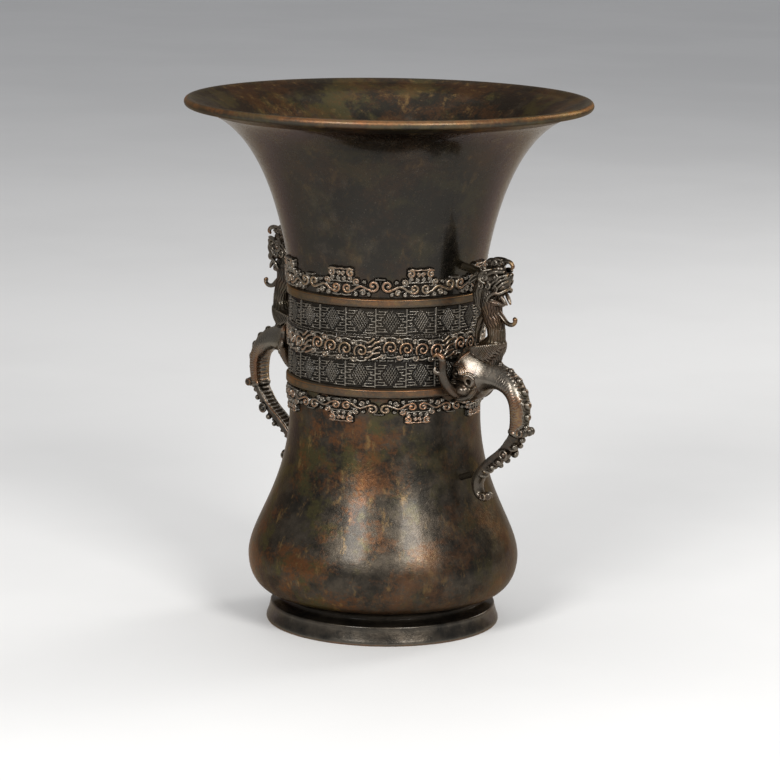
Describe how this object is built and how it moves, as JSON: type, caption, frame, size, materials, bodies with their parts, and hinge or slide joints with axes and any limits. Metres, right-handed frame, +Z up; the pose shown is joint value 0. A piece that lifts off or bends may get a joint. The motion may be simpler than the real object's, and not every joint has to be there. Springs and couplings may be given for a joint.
{
  "type": "bronze hu vessel",
  "caption": "Bronze hu flower vase: splayed foot, low round belly, waist banded with key-fret and cloud friezes, trumpet mouth, and beast-and-dragon handles at its sides.",
  "frame": {"origin": "on the surface that it stands on, at the middle of the foot", "axes": "+Z up along the vessel's axis, +X out through the right handle, +Y to the back"},
  "size_m": [0.2294, 0.2294, 0.3],
  "materials": {
    "dark_bronze": "cast bronze with a dark brown-black waxed patina",
    "worn_bronze": "cast bronze, patina rubbed through to copper brown on its high edges",
    "belly_bronze": "polished cast bronze, mottled rust, olive and gold under wax"
  },
  "bodies": {
    "root": {"foot_ring": "dark_bronze", "floor_plate": "dark_bronze", "belly": "belly_bronze", "waist_sleeve": "dark_bronze", "neck": "dark_bronze", "mouth_rim": "dark_bronze", "lower_cloud_frieze": "dark_bronze", "lower_fillet_band": "worn_bronze", "lower_fret_register": "dark_bronze", "middle_cloud_frieze": "dark_bronze", "upper_fret_register": "dark_bronze", "upper_fillet_band": "worn_bronze", "upper_cloud_frieze": "dark_bronze", "right_arch": "dark_bronze", "right_beast_head": "dark_bronze", "right_tusk_front": "worn_bronze", "right_tusk_back": "worn_bronze", "right_collar": "dark_bronze", "right_dragon_neck": "dark_bronze", "right_dragon_head": "dark_bronze", "right_dragon_crest": "worn_bronze", "right_dragon_ear_front": "dark_bronze", "right_dragon_ear_back": "dark_bronze", "right_beard_hook": "worn_bronze", "right_nape_rivet": "worn_bronze", "right_seat_rivet": "worn_bronze", "right_tail_rivet": "worn_bronze", "left_arch": "dark_bronze", "left_beast_head": "dark_bronze", "left_tusk_front": "worn_bronze", "left_tusk_back": "worn_bronze", "left_collar": "dark_bronze", "left_dragon_neck": "dark_bronze", "left_dragon_head": "dark_bronze", "left_dragon_crest": "worn_bronze", "left_dragon_ear_front": "dark_bronze", "left_dragon_ear_back": "dark_bronze", "left_beard_hook": "worn_bronze", "left_nape_rivet": "worn_bronze", "left_seat_rivet": "worn_bronze", "left_tail_rivet": "worn_bronze"}
  },
  "joints": []
}
